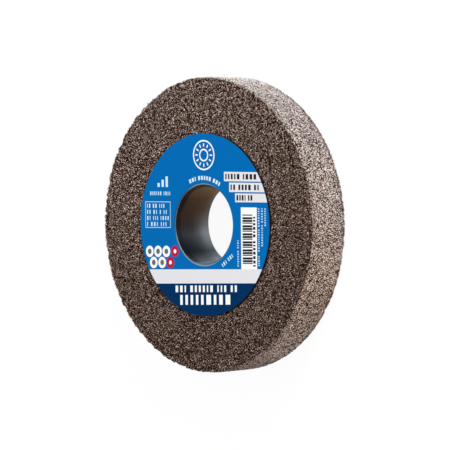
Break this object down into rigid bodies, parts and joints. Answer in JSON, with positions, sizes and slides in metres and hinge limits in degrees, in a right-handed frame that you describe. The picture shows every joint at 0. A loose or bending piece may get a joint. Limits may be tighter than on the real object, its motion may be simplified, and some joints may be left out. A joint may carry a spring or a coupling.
{
  "type": "bench grinding wheel",
  "caption": "Straight bonded-abrasive disc for a bench grinder, with a bushed spindle bore and a card blotter on each side face for the clamping flanges.",
  "frame": {"origin": "centre of the bore, on the outer face of the rear blotter that the wheel lies on", "axes": "+Z along the bore axis, out of the printed front side; +X to the right and +Y to the top of the front blotter's print"},
  "size_m": [0.125, 0.125, 0.0206],
  "materials": {
    "fired_abrasive": "coarse brown grain in a fired bond",
    "bush_plastic": "satin dark grey",
    "printed_card": "printed blue, white and navy, with a slight sheen",
    "plain_card": "unprinted card"
  },
  "bodies": {
    "root": {"abrasive_wheel": "fired_abrasive", "bore_bush": "bush_plastic", "front_blotter": "printed_card", "rear_blotter": "plain_card"}
  },
  "joints": []
}
